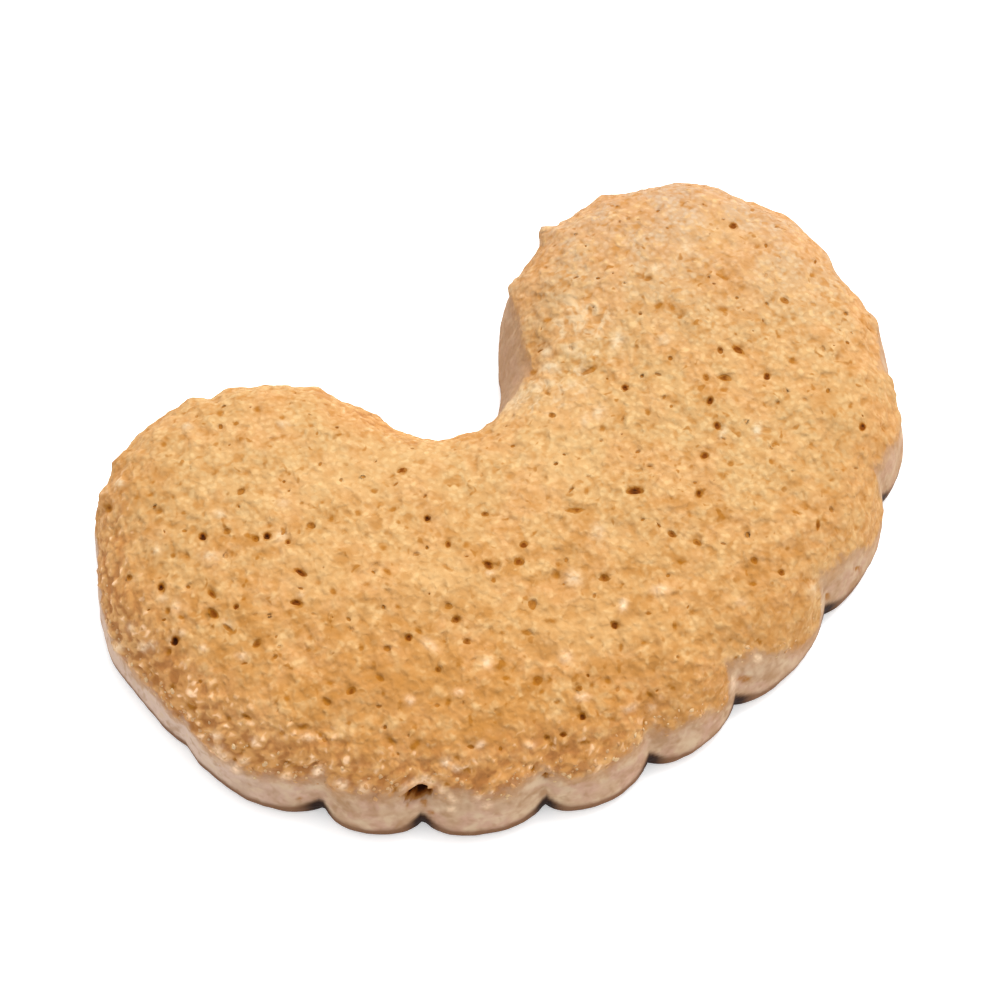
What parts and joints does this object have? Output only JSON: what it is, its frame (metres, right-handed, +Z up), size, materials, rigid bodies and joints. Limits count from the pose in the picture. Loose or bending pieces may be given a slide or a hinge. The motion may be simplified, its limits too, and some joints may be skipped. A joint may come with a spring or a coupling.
{
  "type": "soft biscuit",
  "caption": "Crescent-shaped soft biscuit with a scalloped outer side, a domed porous golden crust and a flat base.",
  "frame": {"origin": "middle of the flat base, at the centre of the biscuit's box", "axes": "+X from the left horn to the right horn, +Y the way the horns point, away from the scalloped side, +Z up"},
  "size_m": [0.0846, 0.0576, 0.013],
  "materials": {
    "crust": null
  },
  "bodies": {
    "root": {"biscuit": "crust"}
  },
  "joints": []
}
